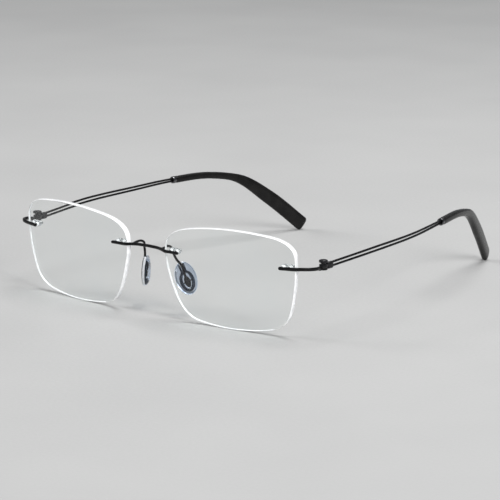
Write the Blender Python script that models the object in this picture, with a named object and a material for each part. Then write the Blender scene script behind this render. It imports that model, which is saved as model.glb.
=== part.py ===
"""Rimless eyeglasses, 55-18-145, standing open on their lenses and temple tips.

Lengths below are in millimetres and angles in degrees, and each mesh is written in metres.
+X is the wearer's left, -Y is the front and +Z is up. The origin is under the middle of the
glasses, on the surface that they stand on. Everything is modelled for the wearer's left side
and mirrored for the right.
"""

import math

import bmesh
import bpy
import numpy as np
from mathutils import Matrix, Vector

# Driving dimensions
METRES = 0.001
BRIDGE_GAP = 18.0
LENS_WIDTH = 55.0
LENS_CENTRE_HEIGHT = 18.247
TILT = 4.8  # top of each lens leans forward
WRAP = 6.1  # outer end of each lens turns back
LENS_RADIUS = 166.7
CENTRE_THICKNESS = 1.6
EDGE_THICKNESS = 2.0
EDGE_BEVEL = 0.2
DEPTH_MIDDLE = 75.7  # from the lens fronts back to the origin
GAP = 0.04  # between pieces that touch
RUNNING = 0.03  # between a pin and the piece that turns on it
PAST = 1.0  # how far a cutter passes the faces that it cuts through

# Lens outline: a smooth loop through (outward, up, heading) knots
LENS_KNOTS = (
    (27.4, 10.3, 93.0),
    (18.2, 17.2, 171.5),
    (-13.0, 17.35, 188.0),
    (-27.4, 8.9, 263.0),
    (-26.1, -1.2, 286.5),
    (-14.6, -17.1, 350.0),
    (16.75, -16.85, 371.0),
    (24.5, -10.25, 432.0),
)
KNOT_STEPS = 7
LENS_RINGS = (0.3, 0.6, 0.85)

# Lens mountings: twin pins through the lens in clear double sleeves
BRIDGE_HEIGHT = 7.4  # of its pins above the lens centre
ENDPIECE_HEIGHT = 6.8
INNER_PINS = ((-25.0, BRIDGE_HEIGHT), (-22.2, BRIDGE_HEIGHT))
OUTER_PINS = ((25.0, ENDPIECE_HEIGHT), (22.2, ENDPIECE_HEIGHT))
PIN_RADIUS = 0.4
SLEEVE_BORE = PIN_RADIUS + GAP
SLEEVE_RADIUS = 0.7
LENS_HOLE = SLEEVE_RADIUS + GAP
SLEEVE_PLATE = (5.2, 0.7, 2.1)  # long, thick, high
PLATE_SQUARE = 0.5
SLEEVE_PROUD = 1.0
PIN_PROUD = 0.25
BAR_THICK = 0.95
BRIDGE_HIGH = 1.1
ENDPIECE_HIGH = 1.25
BAR_SQUARE = 0.75
BAR_ROUNDING = 0.6

# Bridge and end pieces
BRIDGE_ON_LENS = ((-20.6, BRIDGE_HEIGHT), (-24.1, BRIDGE_HEIGHT), (-27.3, BRIDGE_HEIGHT))
BRIDGE_MIDDLE = ((7.7, -1.15, 25.68), (5.2, -0.35, 25.8), (2.6, -0.2, 25.88), (0.0, -0.15, 25.92))
ENDPIECE_ON_LENS = ((21.3, ENDPIECE_HEIGHT), (24.0, ENDPIECE_HEIGHT), (27.3, ENDPIECE_HEIGHT))
ENDPIECE_TURN = ((65.9, 4.9, 25.65), (68.1, 7.2, 25.55), (68.8, 10.0, 25.35), (68.2, 12.7, 25.1))

# Hinge: one knuckle of the end piece under one knuckle of the temple
HINGE = (68.0, 14.9)
HINGE_BOTTOM = 24.1
KNUCKLE_RADIUS = 1.5
LOWER_KNUCKLE = 0.8
WASHER = 0.15
UPPER_KNUCKLE = 0.9
LOWER_WEB = (1.1, 2.6)  # width, and reach from the axis to the bar
UPPER_WEB_WIDE = 1.6
WEB_STEP = 0.1  # a web's faces inside its knuckle's
HINGE_PIN_RADIUS = 0.6
CAP_RADIUS = 1.6
CAP_THICK = 0.9
CAP_NECK_RADIUS = 0.85
CAP_NECK = 0.7
CAP_PROFILE = ((1.0, 0.0), (1.0, 0.62), (0.9, 0.88), (0.7, 1.0))  # radius, height
SCREW_SLOT = (0.3, 0.35)

# Temple: two wires from the hinge block to the ferrule and on inside the tip
TEMPLE_LINE = (
    (68.0, 17.0, 25.25),
    (69.7, 42.0, 26.7),
    (68.4, 70.0, 27.3),
    (65.3, 91.4, 28.0),
    (60.9, 110.0, 27.6),
    (56.8, 122.6, 24.8),
    (51.8, 136.4, 15.5),
    (45.8, 152.3, 1.812),
)
BLOCK_ENDS = ((16.8, 0.85), (17.1, 1.0), (19.2, 1.0), (19.6, 0.8))  # depth, share of full size
BLOCK_FLARE = 0.08
BLOCK_WIDE = 1.7
BLOCK_HIGH = 2.5
BLOCK_SQUARE = 0.6
WIRE_RADIUS = 0.42
WIRE_START = 18.2
WIRE_CLEAR = 0.03  # share of its first step that a wire stops short of its socket's end
WIRE_SPREADS = ((18.0, 1.3), (45.0, 1.4), (75.0, 1.15), (90.0, 0.92), (115.0, 0.92))
WIRE_END = 112.0
FERRULE = (90.7, 92.3)
FERRULE_RADIUS = 1.45
FERRULE_SHARES = (0.86, 1.0, 1.0, 0.93)
TIP_BORE = 0.98
TIP_SQUARE = 0.7
TIP_START = 92.36
TIP_BORE_END = 113.0
TIP_SIZES = (
    (92.0, 2.7, 2.7),
    (113.0, 2.8, 2.8),
    (119.0, 3.0, 2.8),
    (126.0, 4.3, 2.8),
    (133.0, 5.4, 2.9),
    (153.0, 6.0, 2.9),
)
TIP_ROUNDING = ((0.0, 0.7), (0.15, 0.84), (0.5, 0.94), (1.0, 0.985), (2.0, 1.0))

# Nose pads: a clear pad round a dark keyhole insert, which rocks on the arm's box
PAD_CENTRE = (9.6, 10.0, 13.55)
PAD_UP = (-0.236, -0.257, 0.937)
PAD_SPLAY = 25.0
PAD_WIDE = 8.2
PAD_LONG = 12.9
PAD_LAYERS = ((-1.2, 0.80), (-0.95, 0.92), (-0.35, 1.0), (0.25, 0.97), (0.8, 0.84), (1.25, 0.6), (1.45, 0.3))
PAD_PIVOT = (-0.5, -1.4)  # depth from the pad's middle plane, height along it
RING_LOW = -5.15
RING_HIGH = 3.05
RING_WIDE = 5.5
RING_BAND = 0.95
RING_THICK = 0.9
NECK_WIDE = 2.2
NECK_TOP = 5.6
CHANNEL_WIDE = 1.3
CHANNEL_FLOOR = 0.62
NOTCH_START = 4.4
SEAT_TOP = 9.0  # above the pad, so its cutters open at the top
SEAT_FRONT = -3.0  # in front of the pad
BOX_WIDE = 2.2
BOX_LONG = 4.4
BOX_THICK = 1.1
PAD_PIN_RADIUS = 0.3
ARM_RADIUS = 0.45
ARM_LINE = (
    (6.83, -0.22, 25.78),
    (7.0, 0.6, 25.86),
    (6.75, 4.4, 26.0),
    (6.75, 5.6, 25.35),
    (7.1, 6.3, 23.2),
    (7.75, 7.35, 20.6),
)

ROUND_SIDES = 16
CAP_SIDES = 24
WIRE_SIDES = 8
PIN_SIDES = 12
BAR_SIDES = 10


# Materials
def material(name, colour, roughness, metallic=0.0, alpha=1.0):
    made = bpy.data.materials.new(name)
    made.use_nodes = True
    shader = made.node_tree.nodes["Principled BSDF"]
    shader.inputs["Base Color"].default_value = (*colour, 1.0)
    shader.inputs["Roughness"].default_value = roughness
    shader.inputs["Metallic"].default_value = metallic
    shader.inputs["Alpha"].default_value = alpha
    made.diffuse_color = (*colour, alpha)
    return made


LOOKS = {
    "lens": ((0.85, 0.9, 0.93), 0.03, 0.0, 0.3),
    "frame_metal": ((0.02, 0.02, 0.022), 0.35, 0.8),
    "wire_metal": ((0.025, 0.025, 0.027), 0.3, 0.8),
    "hinge_metal": ((0.03, 0.03, 0.032), 0.3, 0.9),
    "clear_sleeve": ((0.9, 0.92, 0.94), 0.1, 0.0, 0.5),
    "pad_silicone": ((0.75, 0.8, 0.87), 0.2, 0.0, 0.5),
    "pad_insert": ((0.06, 0.07, 0.09), 0.4),
    "washer": ((0.03, 0.03, 0.03), 0.5),
    "ferrule": ((0.1, 0.1, 0.105), 0.15, 1.0),
    "tip": ((0.015, 0.015, 0.016), 0.45),
}


# Shapes, each a bmesh in millimetres
def shape(points, faces):
    bm = bmesh.new()
    corners = [bm.verts.new(point) for point in points]
    for face in faces:
        bm.faces.new([corners[i] for i in face])
    bmesh.ops.recalc_face_normals(bm, faces=bm.faces)
    return bm


def loft(rings):
    """A closed shape through rings of equal length, with a flat cap at each end."""
    count = len(rings[0])
    points = [point for ring in rings for point in ring]
    faces = [list(range(count)), list(range(len(points) - count, len(points)))]
    for row in range(len(rings) - 1):
        for i in range(count):
            j = (i + 1) % count
            a = row * count
            b = a + count
            faces.append((a + i, a + j, b + j, b + i))
    return shape(points, faces)


def oval(wide, high, sides, power=1.0):
    """Corners of an oval; a power below 1 squares it off."""
    turns = [2 * math.pi * i / sides for i in range(sides)]
    squared = [(bend(math.cos(t), power), bend(math.sin(t), power)) for t in turns]
    return [(wide / 2 * c, high / 2 * s) for c, s in squared]


def bend(value, power):
    return math.copysign(abs(value) ** power, value)


def sweep(line, wides, highs, sides, hint=(0, 0, 1), power=1.0):
    """An oval section carried along a line, with its high side towards the hint."""
    line = np.array(line, float)
    tangents = np.gradient(line, axis=0)
    rings = []
    for centre, tangent, wide, high in zip(line, tangents, wides, highs):
        ahead = Vector(tangent).normalized()
        up = Vector(hint) - ahead * ahead.dot(Vector(hint))
        up.normalize()
        side = ahead.cross(up)
        corners = oval(wide, high, sides, power)
        rings.append([Vector(centre) + side * a + up * b for a, b in corners])
    return loft(rings)


def tube(line, radius, sides=ROUND_SIDES, hint=(0, 0, 1)):
    size = [2 * radius] * len(line)
    return sweep(line, size, size, sides, hint)


def cylinder(radius, low, high, centre=(0, 0), sides=ROUND_SIDES):
    """An upright cylinder."""
    corners = oval(2 * radius, 2 * radius, sides)
    rings = [[(centre[0] + a, centre[1] + b, z) for a, b in corners] for z in (low, high)]
    return loft(rings)


def box(low, high):
    (x0, y0, z0), (x1, y1, z1) = low, high
    corners = ((x0, y0), (x1, y0), (x1, y1), (x0, y1))
    return loft([[(x, y, z) for x, y in corners] for z in (z0, z1)])


def plate(outline, low, high):
    """An outline in the plane of width and height, thickened in depth."""
    return loft([[(a, depth, b) for a, b in outline] for depth in (low, high)])


def moved(bm, matrix):
    bmesh.ops.transform(bm, matrix=matrix, verts=bm.verts)
    return bm


def smooth_line(knots, steps):
    """Points on a smooth curve through the knots."""
    knots = np.array(knots, float)
    slopes = np.gradient(knots, np.r_[0, np.cumsum(np.linalg.norm(np.diff(knots, axis=0), axis=1))], axis=0)
    points = []
    for i in range(len(knots) - 1):
        span = np.linalg.norm(knots[i + 1] - knots[i])
        for s in np.linspace(0, 1, steps, endpoint=False):
            start = (1 + 2 * s) * (1 - s) ** 2 * knots[i] + s * (1 - s) ** 2 * span * slopes[i]
            end = s * s * (3 - 2 * s) * knots[i + 1] - s * s * (1 - s) * span * slopes[i + 1]
            points.append(start + end)
    points.append(knots[-1])
    return np.array(points)


def part_of_line(line, start, end, steps):
    """The stretch of a line between two depths, with points at even depths."""
    depths = np.linspace(start, end, steps)
    return np.array([[np.interp(y, line[:, 1], line[:, axis]) for axis in range(3)] for y in depths])


# Objects
def whole(name, bm, look, pivot=None, sharp=35.0):
    """Makes one object from a shape, held by the empty at its pivot."""
    origin = pivot.location.copy() if pivot else Vector((0, 0, 0))
    bmesh.ops.transform(bm, matrix=to_world() @ Matrix.Scale(METRES, 4), verts=bm.verts)
    bmesh.ops.transform(bm, matrix=Matrix.Translation(-origin), verts=bm.verts)
    mesh = bpy.data.meshes.new(name)
    bm.to_mesh(mesh)
    bm.free()
    mesh.shade_smooth()
    mesh.set_sharp_from_angle(angle=math.radians(sharp))
    mesh.materials.append(bpy.data.materials[look])
    made = bpy.data.objects.new(name, mesh)
    bpy.context.collection.objects.link(made)
    made.parent = pivot
    return made


def to_world():
    return Matrix.Translation((0, -DEPTH_MIDDLE * METRES, 0))


def mirrored(bm, side):
    """The same shape on the wearer's right when side is -1."""
    if side < 0:
        bmesh.ops.transform(bm, matrix=Matrix.Scale(-1, 4, (1, 0, 0)), verts=bm.verts)
        bmesh.ops.reverse_faces(bm, faces=bm.faces)
    return bm


def combined(base, others, operation):
    """Joins shapes to a base shape, or cuts them from it, one after another."""
    keep = bpy.data.meshes.new("base")
    base.to_mesh(keep)
    base.free()
    host = bpy.data.objects.new("base", keep)
    bpy.context.collection.objects.link(host)
    tools = []
    for other in others:
        mesh = bpy.data.meshes.new("tool")
        other.to_mesh(mesh)
        other.free()
        tool = bpy.data.objects.new("tool", mesh)
        tool.hide_render = True
        tool.display_type = "WIRE"
        bpy.context.collection.objects.link(tool)
        modifier = host.modifiers.new("step", "BOOLEAN")
        modifier.object = tool
        modifier.operation = operation
        modifier.solver = "EXACT"
        tools.append(tool)
    bpy.context.view_layer.update()
    result = bmesh.new()
    result.from_object(host, bpy.context.evaluated_depsgraph_get())
    for helper in [host, *tools]:
        bpy.data.objects.remove(helper, do_unlink=True)
    return result


def joined(base, *others):
    return combined(base, others, "UNION")


def cut(base, *others):
    return combined(base, others, "DIFFERENCE")


def empty(name, place):
    made = bpy.data.objects.new(name, None)
    made.empty_display_size = 0.004
    made.location = to_world() @ (Vector(place) * METRES)
    bpy.context.collection.objects.link(made)
    return made


def on_side(place, side):
    return (place[0] * side, place[1], place[2])


# Lenses
def lens_frame():
    """Places (outward, back, up) from the lens centre in the glasses."""
    centre = Matrix.Translation(((LENS_WIDTH + BRIDGE_GAP) / 2, 0, LENS_CENTRE_HEIGHT))
    turn = Matrix.Rotation(math.radians(TILT), 4, "X") @ Matrix.Rotation(math.radians(WRAP), 4, "Z")
    return centre @ turn


def lens_front(u, v):
    return (u * u + v * v) / (2 * LENS_RADIUS)


def lens_back(u, v):
    growth = (EDGE_THICKNESS - CENTRE_THICKNESS) / (LENS_WIDTH / 2) ** 2
    return lens_front(u, v) + CENTRE_THICKNESS + growth * (u * u + v * v)


def lens_outline():
    points = []
    for knot, following in zip(LENS_KNOTS, LENS_KNOTS[1:] + LENS_KNOTS[:1]):
        turn = math.radians((following[2] - knot[2]) % 360)
        chord = math.dist(knot[:2], following[:2])
        reach = 4 / 3 * math.tan(turn / 4) * chord / (2 * math.sin(turn / 2))
        start, end = Vector(knot[:2]), Vector(following[:2])
        leave = Vector((math.cos(math.radians(knot[2])), math.sin(math.radians(knot[2]))))
        arrive = Vector((math.cos(math.radians(following[2])), math.sin(math.radians(following[2]))))
        for i in range(KNOT_STEPS):
            s = i / KNOT_STEPS
            bow = start * (1 - s) ** 3 + (start + leave * reach) * 3 * s * (1 - s) ** 2
            points.append(bow + (end - arrive * reach) * 3 * s * s * (1 - s) + end * s**3)
    return points


def lens_ring(outline, scale, surface, shift=0.0):
    scaled = [point * scale for point in outline]
    return [(u, surface(u, v) + shift, v) for u, v in scaled]


def lens_blank():
    outline = lens_outline()
    inner = 1 - EDGE_BEVEL / (LENS_WIDTH / 2)
    scales = (*LENS_RINGS, inner)
    rings = [lens_ring(outline, scale, lens_front) for scale in scales]
    rings.append(lens_ring(outline, 1, lens_front, EDGE_BEVEL))
    rings.append(lens_ring(outline, 1, lens_back, -EDGE_BEVEL))
    rings += [lens_ring(outline, scale, lens_back) for scale in reversed(scales)]
    return loft(rings)


def pin_hole(pin, radius, start, end):
    """A cylinder along a lens pin, from start to end behind the lens front."""
    made = cylinder(radius, start, end, sides=PIN_SIDES)
    along = Matrix.Rotation(math.radians(-90), 4, "X")
    here = Matrix.Translation((pin[0], lens_front(*pin), pin[1]))
    return moved(made, here @ along)


def make_lens(side, name):
    end = EDGE_THICKNESS + PAST
    holes = [pin_hole(pin, LENS_HOLE, -PAST, end) for pin in (*OUTER_PINS, *INNER_PINS)]
    bm = moved(cut(lens_blank(), *holes), lens_frame())
    whole(name, mirrored(bm, side), "lens")


def back_slope(u, v):
    """Turns a plate to lie along the back of the lens."""
    step = 0.1
    outward = (lens_back(u + step, v) - lens_back(u, v)) / step
    upward = (lens_back(u, v + step) - lens_back(u, v)) / step
    turn = Matrix.Rotation(math.atan(outward), 4, "Z")
    return turn @ Matrix.Rotation(-math.atan(upward), 4, "X")


def make_sleeve(side, pins, name):
    """Two clear tubes in the lens holes, joined by a plate behind the lens."""
    middle = Vector(pins[0]).lerp(Vector(pins[1]), 0.5)
    back = lens_back(*middle) + 2 * GAP
    long, thick, high = SLEEVE_PLATE
    base = plate(oval(long, high, ROUND_SIDES, PLATE_SQUARE), 0, thick)
    moved(base, Matrix.Translation((middle.x, back, middle.y)) @ back_slope(*middle))
    end = back + thick + SLEEVE_PROUD - lens_front(*middle)
    tubes = [pin_hole(pin, SLEEVE_RADIUS, 3 * GAP, end) for pin in pins]
    bores = [pin_hole(pin, SLEEVE_BORE, -PAST, end + PAST) for pin in pins]
    bm = moved(cut(joined(base, *tubes), *bores), lens_frame())
    whole(name, mirrored(bm, side), "clear_sleeve")


def mounting_pins(pins):
    """The metal pins of one mounting, in the glasses."""
    middle = Vector(pins[0]).lerp(Vector(pins[1]), 0.5)
    end = lens_back(*middle) - lens_front(*middle)
    end += 2 * GAP + SLEEVE_PLATE[1] + SLEEVE_PROUD + PIN_PROUD
    return [moved(pin_hole(pin, PIN_RADIUS, -BAR_THICK / 2, end), lens_frame()) for pin in pins]


def on_lens(spot):
    """The bar's centre where it lies on the front of the lens."""
    back = lens_front(*spot) - BAR_THICK / 2 - 2 * GAP
    return tuple(lens_frame() @ Vector((spot[0], back, spot[1])))


# Bridge and end pieces
def rounded_ends(line, both):
    """Share of its full size that a bar has along a line, drawn in over its free ends."""
    run = np.r_[0, np.cumsum(np.linalg.norm(np.diff(line, axis=0), axis=1))]
    left = np.minimum(run, run[-1] - run) if both else run
    return np.sqrt(np.clip(left / BAR_ROUNDING, 0.25, 1.0))


def make_bridge():
    half = [*map(on_lens, BRIDGE_ON_LENS), *BRIDGE_MIDDLE]
    other = [on_side(point, -1) for point in half[-2::-1]]
    line = smooth_line([*half, *other], 3)
    ends = rounded_ends(line, both=True)
    bar = sweep(line, BAR_THICK * ends, BRIDGE_HIGH * ends, BAR_SIDES, power=BAR_SQUARE)
    left = mounting_pins(INNER_PINS)
    right = [mirrored(bm, -1) for bm in mounting_pins(INNER_PINS)]
    whole("bridge", joined(bar, *left, *right), "frame_metal")


def make_endpiece(side, name):
    """Bar on the lens, turn round its edge, and the hinge's lower knuckle."""
    line = smooth_line([*map(on_lens, ENDPIECE_ON_LENS), *ENDPIECE_TURN], 3)
    ends = rounded_ends(line, both=False)
    bar = sweep(line, BAR_THICK * ends, ENDPIECE_HIGH * ends, BAR_SIDES, power=BAR_SQUARE)
    x, y = HINGE
    top = HINGE_BOTTOM + LOWER_KNUCKLE
    knuckle = cylinder(KNUCKLE_RADIUS, HINGE_BOTTOM, top, HINGE)
    wide, reach = LOWER_WEB
    web = box((x - wide / 2, y - reach, HINGE_BOTTOM + WEB_STEP), (x + wide / 2, y, top - WEB_STEP))
    hole = cylinder(HINGE_PIN_RADIUS + GAP, HINGE_BOTTOM - PAST, top + PAST, HINGE)
    bm = cut(joined(bar, knuckle, web, *mounting_pins(OUTER_PINS)), hole)
    whole(name, mirrored(bm, side), "frame_metal")


# Hinges
def hinge_levels():
    """Heights of the washer, the upper knuckle and the cap's neck."""
    washer = HINGE_BOTTOM + LOWER_KNUCKLE + GAP
    knuckle = washer + WASHER + GAP
    neck = knuckle + UPPER_KNUCKLE + GAP
    return washer, knuckle, neck


def make_hinge_screw(side, name):
    _, _, neck = hinge_levels()
    low = neck + CAP_NECK
    top = low + CAP_THICK
    shank = cylinder(HINGE_PIN_RADIUS, HINGE_BOTTOM + GAP, neck + CAP_NECK / 2, HINGE)
    collar = cylinder(CAP_NECK_RADIUS, neck, low + CAP_THICK / 4, HINGE)
    x, y = HINGE
    sizes = [2 * CAP_RADIUS * size for size, _ in CAP_PROFILE]
    levels = [low + CAP_THICK * rise for _, rise in CAP_PROFILE]
    rings = [oval(size, size, CAP_SIDES) for size in sizes]
    cap = loft([[(x + a, y + b, z) for a, b in ring] for ring, z in zip(rings, levels)])
    wide, deep = SCREW_SLOT
    reach = CAP_RADIUS + PAST
    slot = box((x - reach, y - wide / 2, top - deep), (x + reach, y + wide / 2, top + PAST))
    bm = cut(joined(shank, collar, cap), slot)
    whole(name, mirrored(bm, side), "hinge_metal")


def make_washer(side, name):
    washer, _, _ = hinge_levels()
    disc = cylinder(KNUCKLE_RADIUS - GAP, washer, washer + WASHER, HINGE)
    hole = cylinder(HINGE_PIN_RADIUS + GAP, washer - PAST, washer + PAST, HINGE)
    whole(name, mirrored(cut(disc, hole), side), "washer")


# Temples
def temple_line():
    return smooth_line(TEMPLE_LINE, 8)


def wire_line(sign):
    """The upper wire's centre line when sign is +1, and the lower wire's when -1."""
    line = part_of_line(temple_line(), WIRE_START, WIRE_END, 22)
    depths, spreads = zip(*WIRE_SPREADS)
    line[:, 2] += sign * np.interp(line[:, 1], depths, spreads) / 2
    return line


def make_temple_block(side, pivot, name):
    """The hinge's upper knuckle and the block that holds the two wires."""
    _, low, _ = hinge_levels()
    x, y = HINGE
    high = low + UPPER_KNUCKLE
    knuckle = cylinder(KNUCKLE_RADIUS, low, high, HINGE)
    start, middle = BLOCK_ENDS[0][0], TEMPLE_LINE[0][2]
    half = UPPER_WEB_WIDE / 2
    web = box((x - half, y, low + WEB_STEP), (x + half, BLOCK_ENDS[1][0] + WEB_STEP, high - WEB_STEP))
    line = [(x + BLOCK_FLARE * (depth - start), depth, middle) for depth, _ in BLOCK_ENDS]
    wides = [BLOCK_WIDE * size for _, size in BLOCK_ENDS]
    highs = [BLOCK_HIGH * size for _, size in BLOCK_ENDS]
    tail = sweep(line, wides, highs, ROUND_SIDES, power=BLOCK_SQUARE)
    hole = cylinder(HINGE_PIN_RADIUS + RUNNING, low - PAST, high + PAST, HINGE)
    sockets = [tube(wire_line(sign), WIRE_RADIUS + GAP, WIRE_SIDES) for sign in (1, -1)]
    bm = cut(joined(knuckle, web, tail), hole, *sockets)
    whole(name, mirrored(bm, side), "hinge_metal", pivot)


def make_wire(side, sign, pivot, name):
    line = wire_line(sign)
    line[0] += (line[1] - line[0]) * WIRE_CLEAR
    whole(name, mirrored(tube(line, WIRE_RADIUS, WIRE_SIDES), side), "wire_metal", pivot)


def make_ferrule(side, pivot, name):
    start, end = FERRULE
    line = part_of_line(temple_line(), start, end, len(FERRULE_SHARES))
    size = [2 * FERRULE_RADIUS * share for share in FERRULE_SHARES]
    bore = tube(part_of_line(temple_line(), start - PAST, end + PAST, 4), TIP_BORE)
    bm = cut(sweep(line, size, size, ROUND_SIDES), bore)
    whole(name, mirrored(bm, side), "ferrule", pivot)


def tip_line():
    """The tip's stations: even ones, and close ones over its rounded end."""
    line = temple_line()
    end = line[-1, 1]
    body = np.linspace(TIP_START, end - TIP_ROUNDING[-1][0], 20)
    rounded = [end - back for back, _ in reversed(TIP_ROUNDING[:-1])]
    stations = [*body, *rounded]
    return np.array([[np.interp(y, line[:, 1], line[:, axis]) for axis in range(3)] for y in stations])


def make_tip(side, pivot, name):
    line = tip_line()
    depths, highs, wides = zip(*TIP_SIZES)
    left = line[-1, 1] - line[:, 1]
    backs, shares = zip(*TIP_ROUNDING)
    share = np.interp(left, backs, shares)
    wide = np.interp(line[:, 1], depths, wides) * share
    high = np.interp(line[:, 1], depths, highs) * share
    bore = tube(part_of_line(temple_line(), TIP_START - PAST, TIP_BORE_END, 8), TIP_BORE, PIN_SIDES)
    bm = cut(sweep(line, wide, high, ROUND_SIDES, power=TIP_SQUARE), bore)
    whole(name, mirrored(bm, side), "tip", pivot)


# Nose pads, modelled as (width, depth, height) and then placed
def pad_frame():
    up = Vector(PAD_UP).normalized()
    splay = math.radians(PAD_SPLAY)
    face = Vector((-math.cos(splay), math.sin(splay), 0))
    face = (face - up * face.dot(up)).normalized()
    across = face.cross(up)
    turn = Matrix((across, face, up)).transposed().to_4x4()
    return Matrix.Translation(PAD_CENTRE) @ turn


def keyhole(wide, low, high, neck, top):
    """A loop outline with a straight neck rising from it."""
    middle = (low + high) / 2
    half = (high - low) / 2
    open_half = math.asin(min(1.0, neck / wide))
    turns = np.linspace(math.pi / 2 + open_half, 5 * math.pi / 2 - open_half, 22)
    loop = [(wide / 2 * math.cos(t), middle + half * math.sin(t)) for t in turns]
    return [*loop, (neck / 2, top), (-neck / 2, top)]


def pad_body():
    rings = []
    for depth, size in PAD_LAYERS:
        outline = oval(PAD_WIDE * size, PAD_LONG * (1 - (1 - size) * PAD_WIDE / PAD_LONG), 28)
        rings.append([(a, depth, b) for a, b in outline])
    return loft(rings)


def make_pad(side, pivot, name):
    wide, neck = RING_WIDE + 3 * GAP, NECK_WIDE + 3 * GAP
    seat = keyhole(wide, RING_LOW - 1.5 * GAP, RING_HIGH + GAP, neck, SEAT_TOP)
    inner_wide = RING_WIDE - 2 * RING_BAND
    well = keyhole(inner_wide, RING_LOW + RING_BAND, RING_HIGH - RING_BAND, CHANNEL_WIDE, SEAT_TOP)
    depth = PAD_PIVOT[0] + RING_THICK / 2 + GAP
    half = CHANNEL_WIDE / 2 + GAP / 4
    notch = box((-half, SEAT_FRONT, NOTCH_START), (half, -SEAT_FRONT, SEAT_TOP))
    bm = cut(pad_body(), plate(seat, SEAT_FRONT, depth), plate(well, SEAT_FRONT, CHANNEL_FLOOR), notch)
    whole(name, mirrored(moved(bm, pad_frame()), side), "pad_silicone", pivot)


def across_pad(radius, half):
    """A cylinder along the rocking axis."""
    made = cylinder(radius, -half, half)
    turn = Matrix.Rotation(math.radians(90), 4, "Y")
    return moved(made, Matrix.Translation((0, PAD_PIVOT[0], PAD_PIVOT[1])) @ turn)


def make_insert(side, pivot, name):
    """The dark keyhole loop inside the pad, open at its top."""
    low, high = PAD_PIVOT[0] - RING_THICK / 2, PAD_PIVOT[0] + RING_THICK / 2
    outer = plate(keyhole(RING_WIDE, RING_LOW, RING_HIGH, NECK_WIDE, NECK_TOP), low, high)
    inner_wide = RING_WIDE - 2 * RING_BAND
    inner = keyhole(inner_wide, RING_LOW + RING_BAND, RING_HIGH - RING_BAND, CHANNEL_WIDE, SEAT_TOP)
    hole = across_pad(PAD_PIN_RADIUS + RUNNING, RING_WIDE)
    bm = cut(outer, plate(inner, SEAT_FRONT, -SEAT_FRONT), hole)
    whole(name, mirrored(moved(bm, pad_frame()), side), "pad_insert", pivot)


def make_pad_box(side, name):
    """The oval box on the end of the arm, which the pad rocks on."""
    outline = [(a, PAD_PIVOT[1] + b) for a, b in oval(BOX_WIDE, BOX_LONG, 20)]
    block = plate(outline, PAD_PIVOT[0] - BOX_THICK / 2, PAD_PIVOT[0] + BOX_THICK / 2)
    bm = cut(block, across_pad(PAD_PIN_RADIUS + GAP, RING_WIDE))
    whole(name, mirrored(moved(bm, pad_frame()), side), "frame_metal")


def make_pad_pin(side, name):
    bm = moved(across_pad(PAD_PIN_RADIUS, RING_WIDE / 2 - 3 * GAP), pad_frame())
    whole(name, mirrored(bm, side), "hinge_metal")


def make_pad_arm(side, name):
    """Wire from the back of the bridge, back and down into the top of the pad's box."""
    foot = pad_frame() @ Vector((0, PAD_PIVOT[0], PAD_PIVOT[1] + BOX_LONG / 2 + GAP))
    mouth = pad_frame() @ Vector((0, PAD_PIVOT[0], NECK_TOP))
    line = smooth_line([*ARM_LINE, tuple(mouth), tuple(foot)], 3)
    arm = tube(line, ARM_RADIUS, BAR_SIDES, hint=(1, 0, 0))
    whole(name, mirrored(arm, side), "frame_metal")


def pad_pivot(side, name):
    place = pad_frame() @ Vector((0, PAD_PIVOT[0], PAD_PIVOT[1]))
    return empty(name, on_side(place, side))


# Assembly
def make_side(side, word):
    make_lens(side, f"lens_{word}")
    make_sleeve(side, INNER_PINS, f"bridge_sleeve_{word}")
    make_sleeve(side, OUTER_PINS, f"endpiece_sleeve_{word}")
    make_endpiece(side, f"endpiece_{word}")
    make_hinge_screw(side, f"hinge_screw_{word}")
    make_washer(side, f"hinge_washer_{word}")
    hinge = empty(f"hinge_axis_{word}", on_side((*HINGE, HINGE_BOTTOM), side))
    make_temple_block(side, hinge, f"temple_block_{word}")
    make_wire(side, 1, hinge, f"temple_wire_upper_{word}")
    make_wire(side, -1, hinge, f"temple_wire_lower_{word}")
    make_ferrule(side, hinge, f"ferrule_{word}")
    make_tip(side, hinge, f"temple_tip_{word}")
    make_pad_arm(side, f"pad_arm_{word}")
    make_pad_box(side, f"pad_box_{word}")
    make_pad_pin(side, f"pad_pin_{word}")
    rocker = pad_pivot(side, f"pad_axis_{word}")
    make_insert(side, rocker, f"pad_insert_{word}")
    make_pad(side, rocker, f"nose_pad_{word}")


def main():
    for old in list(bpy.data.objects):
        bpy.data.objects.remove(old, do_unlink=True)
    for name, look in LOOKS.items():
        material(name, *look)
    make_bridge()
    make_side(1, "left")
    make_side(-1, "right")


main()
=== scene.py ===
"""Looks of the rimless eyeglasses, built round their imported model.

Lengths are in millimetres in the glasses' own frame, with the lens fronts near depth 0, and
each mesh is written in the shared frame in metres. +X is the wearer's left, -Y is the front and
+Z is up. Every piece is shaped for the wearer's left side and mirrored for the right.
"""

import math

import bmesh
import bpy
import numpy as np
from mathutils import Matrix, Vector


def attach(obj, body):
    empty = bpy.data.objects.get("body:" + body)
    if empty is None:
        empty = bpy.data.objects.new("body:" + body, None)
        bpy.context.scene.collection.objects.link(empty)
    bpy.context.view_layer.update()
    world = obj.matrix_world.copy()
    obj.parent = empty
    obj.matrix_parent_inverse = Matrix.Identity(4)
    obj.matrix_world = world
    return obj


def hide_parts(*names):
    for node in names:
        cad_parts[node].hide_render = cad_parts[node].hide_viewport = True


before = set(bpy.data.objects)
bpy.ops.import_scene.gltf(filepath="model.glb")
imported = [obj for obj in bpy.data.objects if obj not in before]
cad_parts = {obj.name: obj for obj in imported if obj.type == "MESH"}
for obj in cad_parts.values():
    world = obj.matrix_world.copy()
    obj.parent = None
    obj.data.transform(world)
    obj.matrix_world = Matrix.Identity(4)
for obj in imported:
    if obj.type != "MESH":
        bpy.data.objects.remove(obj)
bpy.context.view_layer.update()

# Sizes that the model was built to
MM = 0.001
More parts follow.
